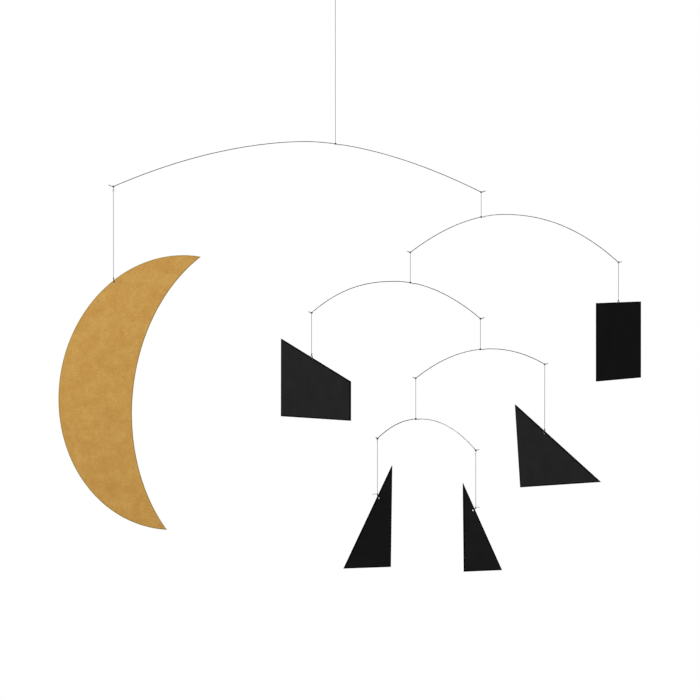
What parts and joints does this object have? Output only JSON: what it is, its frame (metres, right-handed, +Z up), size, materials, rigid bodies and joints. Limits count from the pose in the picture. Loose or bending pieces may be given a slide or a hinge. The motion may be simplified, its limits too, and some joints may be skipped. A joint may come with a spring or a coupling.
{
  "type": "hanging mobile",
  "caption": "Hanging mobile of arched spring wires, with a gold crescent moon and black rectangle, trapezoid and triangle cards on threads.",
  "frame": {"origin": "where the hanging loop rests on its hook, at the top of the mobile", "axes": "+Z up along the top thread, +X towards the viewer's right along the first arm, +Y away from the viewer"},
  "size_m": [0.6061, 0.1443, 0.6146],
  "materials": {
    "gold_card": "satin metallic gold on stiff card",
    "black_card": "matt black stiff card",
    "wire": "smooth dark spring steel",
    "thread": "twisted dark polyester thread"
  },
  "bodies": {
    "hanger": {"hanging_loop": "thread", "thread_top": "thread"},
    "arm_1": {"arm_1_wire": "wire", "knot_arm_1": "thread", "thread_moon": "thread", "thread_arm_2": "thread"},
    "moon": {"moon_card": "gold_card", "knot_moon": "thread"},
    "arm_2": {"arm_2_wire": "wire", "knot_arm_2": "thread", "thread_rectangle": "thread", "thread_arm_3": "thread"},
    "rectangle": {"rectangle_card": "black_card", "knot_rectangle": "thread"},
    "arm_3": {"arm_3_wire": "wire", "knot_arm_3": "thread", "thread_trapezoid": "thread", "thread_arm_4": "thread"},
    "trapezoid": {"trapezoid_card": "black_card", "knot_trapezoid": "thread"},
    "arm_4": {"arm_4_wire": "wire", "knot_arm_4": "thread", "thread_large_triangle": "thread", "thread_arm_5": "thread"},
    "large_triangle": {"large_triangle_card": "black_card", "knot_large_triangle": "thread"},
    "arm_5": {"arm_5_wire": "wire", "knot_arm_5": "thread", "thread_left_triangle": "thread", "thread_right_triangle": "thread"},
    "left_triangle": {"left_triangle_card": "black_card", "knot_left_triangle": "thread"},
    "right_triangle": {"right_triangle_card": "black_card", "knot_right_triangle": "thread"}
  },
  "joints": [
    {"name": "arm_1_swivel", "type": "hinge", "parent": "hanger", "child": "arm_1", "pos_m": [0, 0, -0.17585], "axis": [0, 0, 1], "continuous": true},
    {"name": "moon_swivel", "type": "hinge", "parent": "arm_1", "child": "moon", "pos_m": [-0.2284, 0, -0.31495], "axis": [0, 0, 1], "continuous": true},
    {"name": "arm_2_swivel", "type": "hinge", "parent": "arm_1", "child": "arm_2", "pos_m": [0.15, 0, -0.25105], "axis": [0, 0, 1], "continuous": true},
    {"name": "rectangle_swivel", "type": "hinge", "parent": "arm_2", "child": "rectangle", "pos_m": [0.29261, 0.01499, -0.33785], "axis": [0, 0, 1], "continuous": true},
    {"name": "arm_3_swivel", "type": "hinge", "parent": "arm_2", "child": "arm_3", "pos_m": [0.077, -0.00767, -0.31855], "axis": [0, 0, 1], "continuous": true},
    {"name": "trapezoid_swivel", "type": "hinge", "parent": "arm_3", "child": "trapezoid", "pos_m": [-0.0246, 0.00661, -0.39345], "axis": [0, 0, 1], "continuous": true},
    {"name": "arm_4_swivel", "type": "hinge", "parent": "arm_3", "child": "arm_4", "pos_m": [0.1487, -0.01775, -0.38685], "axis": [0, 0, 1], "continuous": true},
    {"name": "large_triangle_swivel", "type": "hinge", "parent": "arm_4", "child": "large_triangle", "pos_m": [0.2151, -0.00959, -0.47015], "axis": [0, 0, 1], "continuous": true},
    {"name": "arm_5_swivel", "type": "hinge", "parent": "arm_4", "child": "arm_5", "pos_m": [0.0823, -0.0259, -0.45795], "axis": [0, 0, 1], "continuous": true},
    {"name": "left_triangle_swivel", "type": "hinge", "parent": "arm_5", "child": "left_triangle", "pos_m": [0.0433, 0.00243, -0.53745], "axis": [0, 0, 1], "continuous": true},
    {"name": "right_triangle_swivel", "type": "hinge", "parent": "arm_5", "child": "right_triangle", "pos_m": [0.14216, -0.0694, -0.54625], "axis": [0, 0, 1], "continuous": true}
  ]
}
